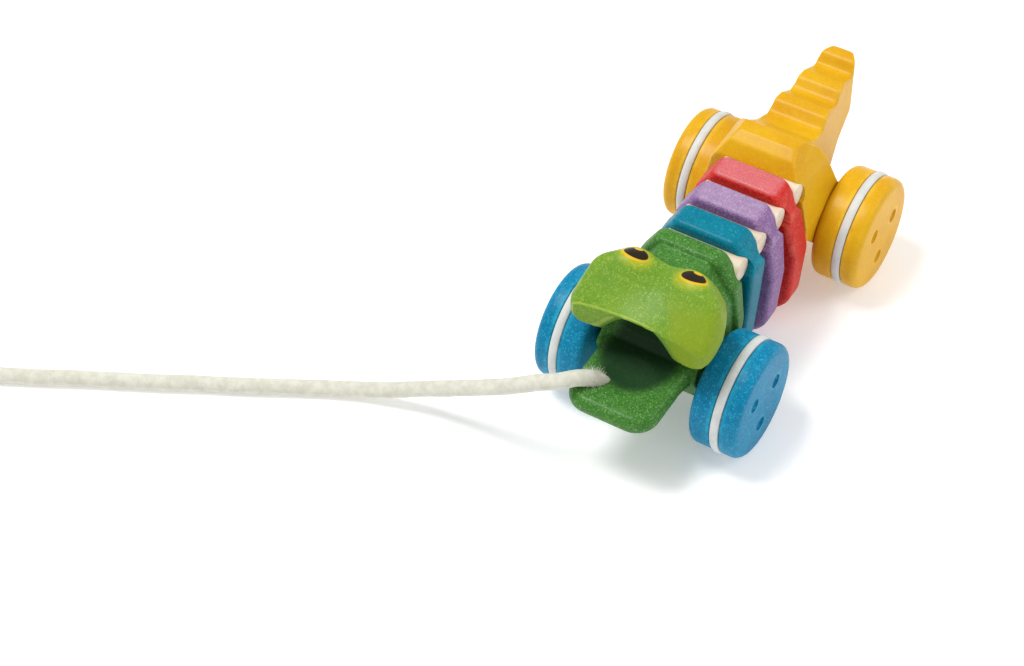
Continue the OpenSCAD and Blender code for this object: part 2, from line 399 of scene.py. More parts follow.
def eye_paint(g, color):
    """Paints both eyes over a colour: a soft yellow and orange rim around a dark pupil."""
    across = g.math("SUBTRACT", g.math("ABSOLUTE", g.along(LEFT, 0.0)), EYE_Y)
    along = g.along(FORWARD, EYE_X)
    on_top = g.ramp(g.along(UP, EYE_LOWEST), 0.0, 0.001)
    grit = g.times(g.math("SUBTRACT", g.noise(900, 3, 0.7), 0.5), 0.3)

    def oval(middle, half, soft):
        """1 inside an oval, with its middle and half sizes given as (across, along)."""
        a = g.math("DIVIDE", g.math("SUBTRACT", across, middle[0]), half[0])
        b = g.math("DIVIDE", g.math("SUBTRACT", along, middle[1]), half[1])
        far = g.math("ADD", g.reach(a, b), g.times(grit, soft))
        return g.times(g.ramp(far, 1 + soft, 1 - soft), on_top)

    glow = oval(middle=(-0.0004, 0.0011), half=(0.0074, 0.0056), soft=0.3)
    rim = oval(middle=(0.0003, 0.0005), half=(0.0060, 0.0040), soft=0.12)
    pupil = oval(middle=(0.0, 0.0), half=(0.0054, 0.0034), soft=0.05)
    notch = oval(middle=(0.0004, -0.0030), half=(0.0019, 0.0012), soft=0.12)
    color = g.mix(g.times(glow, 0.34), color, EYE_YELLOW)
    color = g.mix(rim, color, EYE_ORANGE)
    return g.mix(g.math("SUBTRACT", pupil, notch, clamp=True), color, PUPIL_BROWN)


MOUTH_X = 0.076
MOUTH_Y = -0.001
MOUTH_LOWEST = 0.037
MOUTH_HALF_LONG = 0.0195
MOUTH_HALF_WIDE = 0.0185
# Nearly black-green of the painted shade in the mouth and deep in the arch.
MOUTH_SHADE_GREEN = (0.012, 0.040, 0.016)


def mouth_painted_shade(g, color):
    """Darkens the mouth of the lower jaw with painted shade, nearly black-green, where the upper jaw
    shadows it.
    """
    along = g.math("DIVIDE", g.along(FORWARD, MOUTH_X), MOUTH_HALF_LONG)
    across = g.math("DIVIDE", g.along(LEFT, MOUTH_Y), MOUTH_HALF_WIDE)
    on_floor = g.ramp(g.along(UP, MOUTH_LOWEST), 0.0, 0.002)
    inside = g.times(g.ramp(g.reach(along, across), 1.08, 0.72), on_floor)
    # Painted shade over the floor of the mouth.
    return g.mix(g.times(inside, 0.92), color, MOUTH_SHADE_GREEN)


FLANK_DIRECTION = (-0.53, 1, 0)
FLANK_START = -0.0296
FLANK_TOP = 0.0815
# Paler lime of the painted light on the left side of the snout.
FLANK_LIT_LIME = (0.245, 0.325, 0.014)


def flank_painted_light(g, color):
    """Paints light on the left side of the snout: a smoother, yellower lime than the rest, as where light
    falls on that side.
    """
    beyond = g.ramp(g.along(FLANK_DIRECTION, FLANK_START), -0.002, 0.005)
    below = g.ramp(g.along(UP, FLANK_TOP), 0.0, -0.006)
    return g.mix(g.times(g.times(beyond, below), 0.65), color, FLANK_LIT_LIME)


SHADE_HALF_WIDE = 0.0155
SHADE_FOOT = 0.057
SHADE_RISE = 0.0115
SHADE_TOP = 0.0712
SHADE_FRONT = 0.081
LIP_REAR = 0.0814
LIP_FRONT = 0.0822
LIP_LEFT_END = 0.012
# Painted shade on the arch's inner walls, and the painted highlight along the snout's front edge.
ARCH_SHADE_GREEN = (0.10, 0.24, 0.04)
LIP_HIGHLIGHT_LIME = (0.46, 0.56, 0.10)


def arch_painted_shade_and_highlight(g, color):
    """Paints shade into the arch under the upper jaw, down to nearly black-green, behind a painted
    highlight: a thin pale line along the front edge.
    """
    # Painted shade on the arch's inner walls, below its top.
    across = g.math("DIVIDE", g.along(LEFT, 0.0), SHADE_HALF_WIDE)
    high = g.math("DIVIDE", g.along(UP, SHADE_FOOT), SHADE_RISE)
    depth = g.math("ADD", high, g.times(across, across))
    below_top = g.ramp(g.along(UP, SHADE_TOP), 0.0, -0.0012)
    tint = g.times(g.ramp(depth, 1.95, 1.45), below_top)
    color = g.mix(g.times(tint, 0.7), color, ARCH_SHADE_GREEN)
    # Painted highlight: a thin pale line along the front edge of the snout, uneven and fading out to the
    # left.
    rear = g.ramp(g.along(FORWARD, LIP_REAR), 0.0, 0.0005)
    front = g.ramp(g.along(FORWARD, LIP_FRONT), 0.0002, -0.0001)
    uneven = g.ramp(g.noise(300, 3, 0.6), 0.25, 0.5)
    fade = g.ramp(g.along(LEFT, LIP_LEFT_END), 0.0, -0.007)
    lip_highlight = g.times(g.times(rear, front), g.times(uneven, fade))
    color = g.mix(g.times(lip_highlight, 0.5), color, LIP_HIGHLIGHT_LIME)
    # Painted shade, nearly black-green, deep inside the arch.
    behind = g.ramp(g.along(FORWARD, SHADE_FRONT), 0.001, -0.002)
    inside = g.times(g.ramp(depth, 1.28, 1.08), behind)
    return g.mix(g.times(inside, 0.85), color, MOUTH_SHADE_GREEN)


BACK_SHEEN_LOWEST = 0.0743
# Pale colour of the painted sheen on a segment's flat back, and the height where it starts.
BACK_SHEEN_PALE = (0.85, 0.72, 0.80)


def back_painted_sheen(g, color):
    """Pales the flat back of a segment with a painted sheen, where light catches the paint's glitter most.
    """
    on_back = g.ramp(g.along(UP, BACK_SHEEN_LOWEST), 0.0, 0.0014)
    grit = g.ramp(g.noise(1700, 2, 0.7), 0.3, 0.7, 0.1, 0.24)
    return g.mix(g.times(on_back, grit), color, BACK_SHEEN_PALE)


GLITTER_SCALE = 2500
FLECK_SCALE = 1900


def paint(name, base, deep, bright, speckle, gloss=0.07, layers=()):
    """Satin paint over pressed wood: cloudy tone, fine glitter, pale edges that are partly wear and partly
    painted highlight, tiny pits.

    Speckle is how strong the glitter is, and gloss how strong the clear coat. Each layer is a
    function that paints over the colour so far.
    """
    g = Graph(name)
    cloud = g.noise(55, 4, 0.6)
    patch = g.noise(420, 3, 0.65)
    fine = g.grains(GLITTER_SCALE)
    coarse = g.grains(FLECK_SCALE)
    glitter = g.times(g.ramp(fine[0], 0.35, 1.0), g.ramp(patch, 0.3, 0.66))
    flecks = g.ramp(coarse[0], 0.84, 0.98)
    shade = g.ramp(fine[1], 0.45, 1.0)
    fleck_color = [0.08 + 0.92 * c for c in bright]
    color = g.mix(g.ramp(cloud, 0.3, 0.72, 0.55, 1.0), deep, base)
    color = g.mix(g.times(shade, 0.45 * speckle + 0.08), color, deep)
    color = g.mix(g.times(glitter, speckle), color, bright)
    color = g.mix(g.times(flecks, 0.8 * speckle), color, fleck_color)
    # Pale convex edges: partly paint worn off, partly a painted highlight where edges catch the light.
    edge = g.ramp(g.add("ShaderNodeNewGeometry").outputs["Pointiness"], 0.512, 0.545)
    edge_wear_and_highlight = g.times(edge, g.ramp(g.noise(220, 4, 0.6), 0.3, 0.62))
    color = g.mix(g.times(edge_wear_and_highlight, 0.4), color, bright)
    for layer in layers:
        color = layer(g, color)
    rough = g.math("ADD", g.ramp(patch, 0.2, 0.8, 0.36, 0.52), g.times(cloud, 0.06))
    height = g.math("ADD", g.times(g.noise(900, 3, 0.6), 0.6), g.times(glitter, 0.5))
    g.bump(height, 0.22, 0.0004)
    g.fix("Specular IOR Level", 0.11)
    g.fix("Coat Weight", gloss)
    g.fix("Coat Roughness", 0.22)
    return g.finish(color, rough)


def bare_wood():
    """Pale sanded wood with its grain across the toy."""
    g = Graph("dowel_wood")
    grain_place = g.stretched((1.0, 0.08, 1.0))
    grain = g.noise(700, 4, 0.65, grain_place)
    bands = g.noise(190, 2, 0.5, grain_place)
    color = g.mix(g.ramp(bands, 0.3, 0.7), (0.65, 0.52, 0.38), (0.77, 0.67, 0.53))
    color = g.mix(g.times(g.ramp(grain, 0.55, 0.75), 0.4), color, (0.50, 0.36, 0.24))
    g.bump(grain, 0.3, 0.0003)
    return g.finish(color, g.ramp(grain, 0.2, 0.8, 0.5, 0.68))


def band_rubber():
    """Matt off-white rubber, a little dusty."""
    g = Graph("band_rubber")
    dust = g.noise(160, 4, 0.6)
    grit = g.noise(1500, 2, 0.6)
    color = g.mix(g.ramp(dust, 0.35, 0.75), (0.66, 0.68, 0.66), (0.57, 0.59, 0.58))
    color = g.mix(g.times(g.ramp(grit, 0.6, 0.8), 0.3), color, (0.45, 0.46, 0.46))
    g.bump(g.noise(1100, 3, 0.6), 0.25, 0.0003)
    return g.finish(color, g.ramp(dust, 0.2, 0.8, 0.5, 0.68))


def cotton():
    """Soft undyed cotton: fine fibres, slight creases and a sheen."""
    g = Graph("cotton")
    soft = g.noise(260, 4, 0.6)
    fibres = g.noise(2100, 4, 0.7)
    marks = g.noise(38, 3, 0.55)
    color = g.mix(g.ramp(soft, 0.3, 0.7), (0.60, 0.59, 0.49), (0.72, 0.71, 0.61))
    color = g.mix(g.times(g.ramp(fibres, 0.5, 0.75), 0.4), color, (0.84, 0.83, 0.76))
    color = g.mix(g.times(g.ramp(marks, 0.62, 0.8), 0.35), color, (0.55, 0.52, 0.41))
    height = g.math("ADD", g.times(fibres, 0.6), g.times(soft, 0.7))
    g.bump(height, 0.55, 0.0006)
    g.fix("Sheen Weight", 0.35)
    g.fix("Sheen Roughness", 0.5)
    g.fix("Specular IOR Level", 0.2)
    return g.finish(color, g.ramp(fibres, 0.3, 0.7, 0.86, 0.97))


def tie_paper():
    """Kraft paper with short fibres."""
    g = Graph("tie_paper")
    fibres = g.noise(900, 4, 0.7)
    color = g.mix(g.ramp(fibres, 0.35, 0.7), (0.42, 0.30, 0.17), (0.60, 0.46, 0.29))
    g.bump(fibres, 0.4, 0.0003)
    return g.finish(color, g.ramp(fibres, 0.3, 0.7, 0.75, 0.9))


LIME = paint(
    "lime_paint",
    base=(0.16, 0.305, 0.016),
    deep=(0.08, 0.23, 0.02),
    bright=(0.42, 0.54, 0.09),
    speckle=0.42,
    layers=(flank_painted_light, arch_painted_shade_and_highlight, eye_paint),
)
GREEN = paint(
    "green_paint",
    base=(0.044, 0.185, 0.02),
    deep=(0.02, 0.105, 0.013),
    bright=(0.25, 0.47, 0.14),
    speckle=0.42,
    gloss=0.1,
    layers=(mouth_painted_shade,),
)
TEAL = paint(
    "teal_paint",
    base=(0.0, 0.19, 0.28),
    deep=(0.0, 0.11, 0.17),
    bright=(0.0, 0.36, 0.48),
    speckle=0.35,
)
PURPLE = paint(
    "purple_paint",
    base=(0.25, 0.125, 0.31),
    deep=(0.14, 0.055, 0.18),
    bright=(0.56, 0.42, 0.62),
    speckle=0.42,
    layers=(back_painted_sheen,),
)
RED = paint(
    "red_paint",
    base=(0.58, 0.010, 0.008),
    deep=(0.46, 0.006, 0.004),
    bright=(0.78, 0.20, 0.13),
    speckle=0.25,
    gloss=0.12,
    layers=(back_painted_sheen,),
)
YELLOW = paint(
    "yellow_paint",
    base=(0.71, 0.40, 0.004),
    deep=(0.60, 0.25, 0.002),
    bright=(0.88, 0.58, 0.06),
    speckle=0.2,
    gloss=0.14,
)
BLUE = paint(
    "blue_paint",
    base=(0.0, 0.20, 0.38),
    deep=(0.0, 0.12, 0.26),
    bright=(0.03, 0.48, 0.68),
    speckle=0.42,
)
WOOD = bare_wood()
RUBBER = band_rubber()
COTTON = cotton()
PAPER = tie_paper()


# ---------------------------------------------------------------- pull cord

CORD_DIAMETER = 7.0
CORD_RADIUS = CORD_DIAMETER / 2
HOLE_RADIUS = CORD_RADIUS + 0.3
CORD_EXIT = (94.5, -10.8, 43)
ROUTE = [
    (88.5, -3.5, 33), (92, -8, 38.5), CORD_EXIT, (100.5, -15.8, 46.8), (106, -21.5, 47), (109, -29.5, 44.5),
    (110, -38, 39), (110.5, -48, 32.5), (111, -59, 26), (112, -71, 19.5), (114, -85, 13),
    (117.5, -99, 7.5), (122, -113, 4.5), (128.5, -127, 3.5), (136.5, -142, 3.5),
    (145, -158, 3.5), (152.5, -173, 3.5), (160.5, -188, 3.5), (168, -203, 3.5),
    (176, -219, 3.5), (184, -234, 3.5), (192, -250, 3.5), (200, -265, 3.5),
    (208.5, -281, 3.5), (217, -297, 3.5),
]
COIL_RADIUS = 44.0
COIL_TURNS = 1.75
COIL_PITCH = 7.0
COIL_STEPS = 42
PATH_STEP = 2.5
UNEVEN_SCALE = 0.22
JAW_KNOT_PLACE = (85.5, 0, 30)
# The cord's last points and its end knot: degrees round the coil, radius and height.
COIL_END = ((8, 30.3, 3.5), (17, 27.4, 3.9), (26, 24.4, 4.8))
END_KNOT_PLACE = (150, 22.75, 5.5)
FIBRES = 420
FIBRE_LENGTH = (0.9, 2.3)
FIBRE_RADIUS = 0.09
FIBRE_SINK = 0.3
FRAYED_STRETCH = (-2.5, 4.5)
TIE_TURN = 40
TIE_INNER = 29.6
TIE_OUTER = 46.2
TIE_LOW = 0.1
TIE_TOP = 7.5
TIE_CORNER = 3.2
TIE_HALF_WIDE = 4.0
TIE_PINCH = 0.25
TIE_PAPER = 0.5


def coil_centre():
    """The middle of the coil, to the left of the route's end."""
    heading = Vector(ROUTE[-1]) - Vector(ROUTE[-3])
    left = Vector((-heading.y, heading.x, 0)).normalized()
    return Vector((ROUTE[-1][0], ROUTE[-1][1], 0)) + left * COIL_RADIUS


def by_coil(degrees, radius, height):
    """The point at this angle and radius about the coil's middle, at this height."""
    turn = math.radians(degrees)
    return coil_centre() + Vector((radius * math.cos(turn), radius * math.sin(turn), height))


def coil_points():
    """Points along the coil, from just past the route's end, and then up into the end knot."""
    start = Vector(ROUTE[-1]) - coil_centre()
    first = math.degrees(math.atan2(start.y, start.x))
    points = []
    for k in range(1, COIL_STEPS + 1):
        done = COIL_TURNS * k / COIL_STEPS
        points.append(by_coil(first + 360 * done, COIL_RADIUS - COIL_PITCH * done, CORD_RADIUS))
    for degrees, radius, height in COIL_END:
        points.append(by_coil(first + 360 * COIL_TURNS + degrees, radius, height))
    return points


def smooth_path(points, step):
    """The points joined by a smooth curve, sampled about every step."""
    pts = [Vector(p) for p in points]
    pts = [pts[0] * 2 - pts[1]] + pts + [pts[-1] * 2 - pts[-2]]
    result = []
    for i in range(1, len(pts) - 2):
        p0, p1, p2, p3 = pts[i - 1 : i + 3]
        count = max(1, round((p2 - p1).length / step))
        for s in range(count):
            t = s / count
            first = p2 - p0
            second = 2 * p0 - 5 * p1 + 4 * p2 - p3
            third = 3 * p1 - p0 - 3 * p2 + p3
            result.append(p1 + 0.5 * (first * t + second * t**2 + third * t**3))
    result.append(pts[-2])
    return result


def tube(name, path, radius, sides, wobble=0.0, caps=True):
    """A tube along a path, with a little unevenness in its thickness."""
    rings = []
    side = Vector((0, 0, 1)).cross(path[1] - path[0]).normalized()
    for i, p in enumerate(path):
        ahead = (path[min(i + 1, len(path) - 1)] - path[max(i - 1, 0)]).normalized()
        side = (side - ahead * side.dot(ahead)).normalized()
        up = ahead.cross(side)
        ring = []
        for k in range(sides):
            turn = 2 * math.pi * k / sides
            out = (side * math.cos(turn) + up * math.sin(turn)) * radius
            ring.append(p + out * (1 + wobble * noise.noise((p + out) * UNEVEN_SCALE)))
        rings.append(ring)
    ob = make_object(name, *skin(rings, caps))
    ob.data.shade_smooth()
    return ob


def knot(name, centre, size, strand):
    """A small knot: one closed strand in a trefoil."""
    steps = 96
    path = []
    for k in range(steps):
        t = 2 * math.pi * k / steps
        x = math.sin(t) + 2 * math.sin(2 * t)
        y = math.cos(t) - 2 * math.cos(2 * t)
        z = -1.1 * math.sin(3 * t)
        path.append(Vector(centre) + Vector((x, y, z)) * (size / 3))
    path.append(path[0])
    ob = tube(name, path, strand, sides=16, wobble=0.06, caps=False)
    weld(ob, 0.02)
    ob.data.shade_smooth()
    return ob


def frayed_fibres(at, ahead):
    """Short loose fibres where the cord rubs on the edge of its hole."""
    ahead = ahead.normalized()
    side = ahead.orthogonal().normalized()
    up = ahead.cross(side)
    points, faces = [], []
    for _ in range(FIBRES):
        turn = random.uniform(0, 2 * math.pi)
        out = side * math.cos(turn) + up * math.sin(turn)
        start = at + ahead * random.uniform(*FRAYED_STRETCH) + out * (CORD_RADIUS - FIBRE_SINK)
        bend = out * random.uniform(0.6, 1.3) + ahead * random.uniform(-1.0, 1.0)
        bend += Vector([random.uniform(-0.5, 0.5) for _ in range(3)])
        length = random.uniform(*FIBRE_LENGTH)
        rings = []
        for step in range(4):
            t = step / 3
            middle = start + bend * length * t + ahead * (t * t * random.uniform(-0.6, 0.6))
            wide = FIBRE_RADIUS * (1 - 0.7 * t)
            rings.append([middle + side * wide * c + up * wide * s for c, s in circle(0, 0, 1, 3)])
        fibre_points, fibre_faces = skin(rings)
        faces += [[len(points) + i for i in face] for face in fibre_faces]
        points += fibre_points
    return make_object("cord_fray", points, faces)


def make_tie():
    """A paper strip around both strands of the coil, pressed down a little along its middle."""
    turn = math.radians(TIE_TURN)
    out = Vector((math.cos(turn), math.sin(turn), 0))
    along = Vector((-out.y, out.x, 0))
    corners = [(TIE_INNER, TIE_LOW), (TIE_OUTER, TIE_LOW), (TIE_OUTER, TIE_TOP), (TIE_INNER, TIE_TOP)]
    outline = rounded(corners, TIE_CORNER)
    rings = []
    for share in (-1, -0.75, -0.375, 0, 0.375, 0.75, 1):
        pinch = TIE_PINCH * math.cos(share * math.pi)
        middle = coil_centre() + along * share * TIE_HALF_WIDE
        ring = []
        for a, b in outline:
            height = b - pinch if b > TIE_TOP / 2 else b
            ring.append(middle + out * a + Vector((0, 0, height)))
        rings.append(ring)
    strip = make_object("coil_paper_tie", *skin(rings, caps=False))
    wall = strip.modifiers.new("wall", "SOLIDIFY")
    wall.thickness = TIE_PAPER * MM
    wall.offset = 1
    apply_modifiers(strip)
    smooth_by_angle(strip, 40)
    return finish_piece(strip, PAPER, "head", "paper_tie", "coil_tie")


def make_cord():
    """The pull cord with its knots, its frayed stretch and the tie on its coil."""
    path = smooth_path(ROUTE + coil_points(), PATH_STEP)
    cord = tube("pull_cord_line", path, CORD_RADIUS, sides=20, wobble=0.05)
    finish_piece(cord, COTTON, "head", "cotton", "pull_cord", "cord_coil")
    end = knot("cord_end_knot", by_coil(*END_KNOT_PLACE), size=4.6, strand=2.7)
    finish_piece(end, COTTON, "head", "cotton", "end_knot")
    under = knot("cord_jaw_knot", JAW_KNOT_PLACE, size=4.2, strand=2.6)
    finish_piece(under, COTTON, "head", "cotton", "cord_knot")
    fray = frayed_fibres(Vector(CORD_EXIT), Vector(ROUTE[3]) - Vector(ROUTE[1]))
    finish_piece(fray, COTTON, "head", "cotton")
    make_tie()


make_cord()


# ---------------------------------------------------------------- body segments

BACK_Z = 75.8
BELLY_Z = 5
PIVOTS = [node_middle(f"pivot_dowel_{k}")[0] for k in (1, 2, 3, 4)]
BODY_SHIFT = node_middle("pivot_dowel_1")[1]
DOWEL_Z = node_middle("pivot_dowel_1")[2]
DOWEL_RADIUS = 5
DOWEL_LENGTH = 35.6
DOWEL_MIDDLE_Y = 3.2
CHAIN = ("head", "teal_body", "purple_body", "red_body", "tail")
HALF_GAP = 1.7
LEAN = 1.0
LEAN_TOP_Z = 60
EDGE_ROUND = 2.6
BORE_CLEARANCE = 0.1
SEAT_CUT_LENGTH = 60


def body_circles(half_wide):
    """The circles whose hull is the cross-section of a body piece."""
    return [
        (11.5, BACK_Z - 6, 6),
        (14.5, 60, 8.5),
        (half_wide - 15.5, 42, 15.5),
        (half_wide - 17.5, BELLY_Z + 16, 16),
    ]


def lean(z):
    """How far a face leans inwards at this height."""
    return LEAN * max(0.0, (LEAN_TOP_Z - z) / LEAN_TOP_Z)


def body_slab(name, rear, front, half_wide, shift=0.0):
    """A body piece with rounded edges all around both faces, slid to the left by a shift."""
    circles = body_circles(half_wide)
    rings = []
    steps = 7
    count = 224
    for face, inwards in ((rear, 1), (front, -1)):
        part = []
        for s in range(steps + 1):
            turn = math.pi / 2 * s / steps
            depth = EDGE_ROUND * (1 - math.sin(turn))
            inset = EDGE_ROUND * (1 - math.cos(turn))
            ring = hull_ring(circles, inset, count)
            part.append([(face + inwards * (depth + lean(z)), y + shift, z) for y, z in ring])
        rings += part[::-1] if face == rear else part
    return loft(name, rings)


def dowel_seat(pivot):
    """The space that a dowel takes, open on the left, to cut its seats with."""
    closed_end = DOWEL_MIDDLE_Y - DOWEL_LENGTH / 2 - 2 * BORE_CLEARANCE
    middle = closed_end + SEAT_CUT_LENGTH / 2
    return cross_bar(DOWEL_RADIUS + BORE_CLEARANCE, SEAT_CUT_LENGTH, pivot, DOWEL_Z, middle)


def make_segment(k, color, material, half_wide):
    """One painted segment, with a half-round seat for the dowel at each end."""
    front = PIVOTS[k] - HALF_GAP
    rear = PIVOTS[k + 1] + HALF_GAP
    ob = body_slab(f"{color}_segment_painted", rear, front, half_wide, BODY_SHIFT)
    for pivot in (PIVOTS[k], PIVOTS[k + 1]):
        combine(ob, dowel_seat(pivot), "DIFFERENCE")
    smooth_by_angle(ob)
    finish_piece(ob, material, f"{color}_body", f"{color}_paint", f"{color}_segment")


make_segment(0, "teal", TEAL, 22)
make_segment(1, "purple", PURPLE, 24.8)
make_segment(2, "red", RED, 27)


# ---------------------------------------------------------------- dowels and link cord

DOWEL_CHAMFER = 0.4
LINK_Z = 40
LINK_RADIUS = 2
LINK_REACH = 4.0
LINK_STEP = 0.8


def turned_bar(name, radius, length, chamfer, x, y, z):
    """A wooden bar across the toy, with eased ends."""
    steps = 4
    count = 64
    ease = []
    for s in range(steps + 1):
        turn = math.pi / 2 * s / steps
        ease.append((radius - chamfer * (1 - math.cos(turn)), length / 2 - chamfer * (1 - math.sin(turn))))
    rows = [(r, -along) for r, along in reversed(ease)] + ease
    rings = [[(a, y + along, b) for a, b in circle(x, z, r, count)] for r, along in rows]
    ob = loft(name, rings)
    smooth_by_angle(ob, 40)
    return ob


def make_dowel(k):
    """The wooden dowel at one pivot, glued in the body piece in front of it."""
    name = f"dowel_{k + 1}"
    dowel = turned_bar(name, DOWEL_RADIUS, DOWEL_LENGTH, DOWEL_CHAMFER, PIVOTS[k], DOWEL_MIDDLE_Y, DOWEL_Z)
    finish_piece(dowel, WOOD, CHAIN[k], "bare_wood", f"pivot_{name}")


def make_link(k):
    """A short straight length of link cord where two body pieces meet."""
    x = PIVOTS[k]
    path = [Vector((x + LINK_REACH - t * LINK_STEP, 0, LINK_Z)) for t in range(11)]
    link = tube(f"link_cord_{k + 1}", path, LINK_RADIUS, sides=16, wobble=0.06)
    link.data.materials.append(COTTON)
    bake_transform(link)


for k in range(len(PIVOTS)):
    make_dowel(k)
for k in range(len(PIVOTS)):
    make_link(k)


# ---------------------------------------------------------------- wheels

AXLES = {end: node_middle(f"{end}_axle")[0] for end in ("front", "rear")}
AXLE_Z = node_middle("front_axle")[2]
AXLE_RADIUS = 4
AXLE_LENGTH = 81
AXLE_CHAMFER = 0.6
AXLE_CUT_LENGTH = 90
TREAD_RADIUS = 25.5
WHEEL_WIDE = 22.5
WHEEL_INNER_Y = 25.5
WHEEL_EDGE = 3.6
SOCKET_RADIUS = 3.9
SOCKET_END = WHEEL_WIDE - 5
BAND_RADIUS = AXLE_Z
BAND_MIDDLE = WHEEL_WIDE - 9.8
BAND_WIDE = 3.8
BAND_DEPTH = 3.0
BAND_CROWN = 0.8
GROOVE_LIP = 0.35
GROOVE_SIDE = 2
GROOVE_CLEARANCE = 0.3
PINHOLE = 0.02
DIMPLE_TURNS = (40, 160, 280)
DIMPLE_RADIUS = 3.2
DIMPLE_ORBIT = 11
DIMPLE_DEPTH = 1.6


def quarter(radius, y, start):
    """The quarter of a tread's rounded edge from start degrees on, about this radius and y."""
    steps = 8
    turns = [math.radians(start + 90 * s / steps) for s in range(steps + 1)]
    return [(radius + WHEEL_EDGE * math.cos(turn), y + WHEEL_EDGE * math.sin(turn)) for turn in turns]


def wheel_profile():
    """The closed outline of half a wheel, y measured outwards from its inner face."""
    half = BAND_WIDE / 2 + GROOVE_CLEARANCE
    groove = [
        (TREAD_RADIUS, half + GROOVE_LIP + GROOVE_SIDE),
        (TREAD_RADIUS, half + GROOVE_LIP),
        (TREAD_RADIUS - GROOVE_LIP, half),
        (TREAD_RADIUS - BAND_DEPTH, half),
    ]
    outline = [(SOCKET_RADIUS, 0.0), (SOCKET_RADIUS, SOCKET_END), (PINHOLE, SOCKET_END)]
    outline += [(r, WHEEL_WIDE) for r in (PINHOLE, 6, 12, 17)]
    outline += reversed(quarter(TREAD_RADIUS - WHEEL_EDGE, WHEEL_WIDE - WHEEL_EDGE, 0))
    outline += [(r, BAND_MIDDLE + away) for r, away in groove]
    outline += [(r, BAND_MIDDLE - away) for r, away in reversed(groove)]
    outline += reversed(quarter(TREAD_RADIUS - WHEEL_EDGE, WHEEL_EDGE, -90))
    outline += [(r, 0.0) for r in (17, 10)]
    return outline


def band_profile():
    """The closed outline of a rubber band, crowned a little."""
    half = BAND_WIDE / 2
    low = TREAD_RADIUS - BAND_DEPTH
    high = BAND_RADIUS - BAND_CROWN
    outline = [(low, BAND_MIDDLE - half), (high, BAND_MIDDLE - half)]
    for s in range(9):
        turn = math.pi * (s / 8 - 0.5)
        outline.append((high + BAND_CROWN * math.cos(turn), BAND_MIDDLE + half * math.sin(turn) * 0.98))
    outline += [(high, BAND_MIDDLE + half), (low, BAND_MIDDLE + half)]
    return outline


def dimple_cutter(turn):
    """A short round plug with a domed end, to press one dimple into a wheel's face."""
    angle = math.radians(turn)
    x, z = DIMPLE_ORBIT * math.cos(angle), DIMPLE_ORBIT * math.sin(angle)
    steps = 8
    wider, above = 0.35, 1.5
    sections = [(DIMPLE_RADIUS + wider, -above)]
    for s in range(steps + 1):
        bend = math.pi / 2 * s / (steps + 0.5)
        sections.append((DIMPLE_RADIUS * (0.35 + 0.65 * math.cos(bend)), DIMPLE_DEPTH * math.sin(bend)))
    return loft(
        "cutter",
        [[(a, WHEEL_WIDE - depth, b) for a, b in circle(x, z, radius, 48)] for radius, depth in sections],
    )


def make_wheel(end, side_name, side, material, slot):
    """One wheel with its rubber band, on its axle. The turned shape's centre is closed by a weld."""
    body = f"{end}_wheels"
    wheel = turned(f"{end}_wheel_{side_name}_turned", wheel_profile())
    weld(wheel, 2.5 * PINHOLE)
    for turn in DIMPLE_TURNS:
        combine(wheel, dimple_cutter(turn), "DIFFERENCE")
    band = turned(f"{end}_band_{side_name}_moulded", band_profile())
    place = Matrix.Translation(Vector((AXLES[end], side * WHEEL_INNER_Y, AXLE_Z)) * MM)
    flip = Matrix.Rotation(0 if side > 0 else math.pi, 4, "Z")
    for ob in (wheel, band):
        ob.data.transform(place @ flip)
        smooth_by_angle(ob, 30)
    finish_piece(wheel, material, body, slot, f"{end}_wheel_{side_name}")
    finish_piece(band, RUBBER, body, "white_rubber", f"{end}_band_{side_name}")


def make_axle(end):
    """The wooden axle that one pair of wheels is glued on."""
    axle = turned_bar(f"{end}_axle_turned", AXLE_RADIUS, AXLE_LENGTH, AXLE_CHAMFER, AXLES[end], 0, AXLE_Z)
    finish_piece(axle, WOOD, f"{end}_wheels", "bare_wood", f"{end}_axle")


def axle_bore(end):
    """The space of an axle's hole, to cut it with."""
    return cross_bar(AXLE_RADIUS + BORE_CLEARANCE, AXLE_CUT_LENGTH, AXLES[end], AXLE_Z)


for end, material, slot in (("front", BLUE, "blue_paint"), ("rear", YELLOW, "yellow_paint")):
    for side_name, side in (("left", 1), ("right", -1)):
        make_wheel(end, side_name, side, material, slot)
    make_axle(end)


# ---------------------------------------------------------------- head

THROAT_X = 66
JAW_TIP_X = 108
JAW_TOP_Z = 43
JAW_UNDER_Z = 34
JAW_HALF_WIDE = 20.3
JAW_CORNER = 10.5
JAW_EDGE = 4.3
HOLLOW_X = 86
HOLLOW_RADIUS = 39.5
HOLLOW_DEPTH = 1.5
NECK_HALF_WIDE = 25
NECK_RING_LENGTH = 9
BLANK_HALF_WIDE = 40


def curve_at(x, stops):
    """The value at x on a smooth curve through stops (x, value)."""
    if x <= stops[0][0]:
        return stops[0][1]
    if x >= stops[-1][0]:
        return stops[-1][1]
    at = next(i for i in range(len(stops) - 1) if x <= stops[i + 1][0])
    (x1, v1), (x2, v2) = stops[at], stops[at + 1]
    x0, v0 = stops[max(at - 1, 0)]
    x3, v3 = stops[min(at + 2, len(stops) - 1)]
    wide = x2 - x1
    t = (x - x1) / wide
    rise1 = (v2 - v0) / (x2 - x0) * wide
    rise2 = (v3 - v1) / (x3 - x1) * wide
    eased = t * t * (3 - 2 * t)
    return v1 + (v2 - v1) * eased + rise1 * t * (1 - t) ** 2 - rise2 * t * t * (1 - t)


def line_at(x, stops):
    """The value at x on a straight-sided line through stops (x, value)."""
    if x <= stops[0][0]:
        return stops[0][1]
    for (x0, v0), (x1, v1) in zip(stops, stops[1:]):
        if x <= x1:
            return v0 + (v1 - v0) * (x - x0) / (x1 - x0)
    return stops[-1][1]


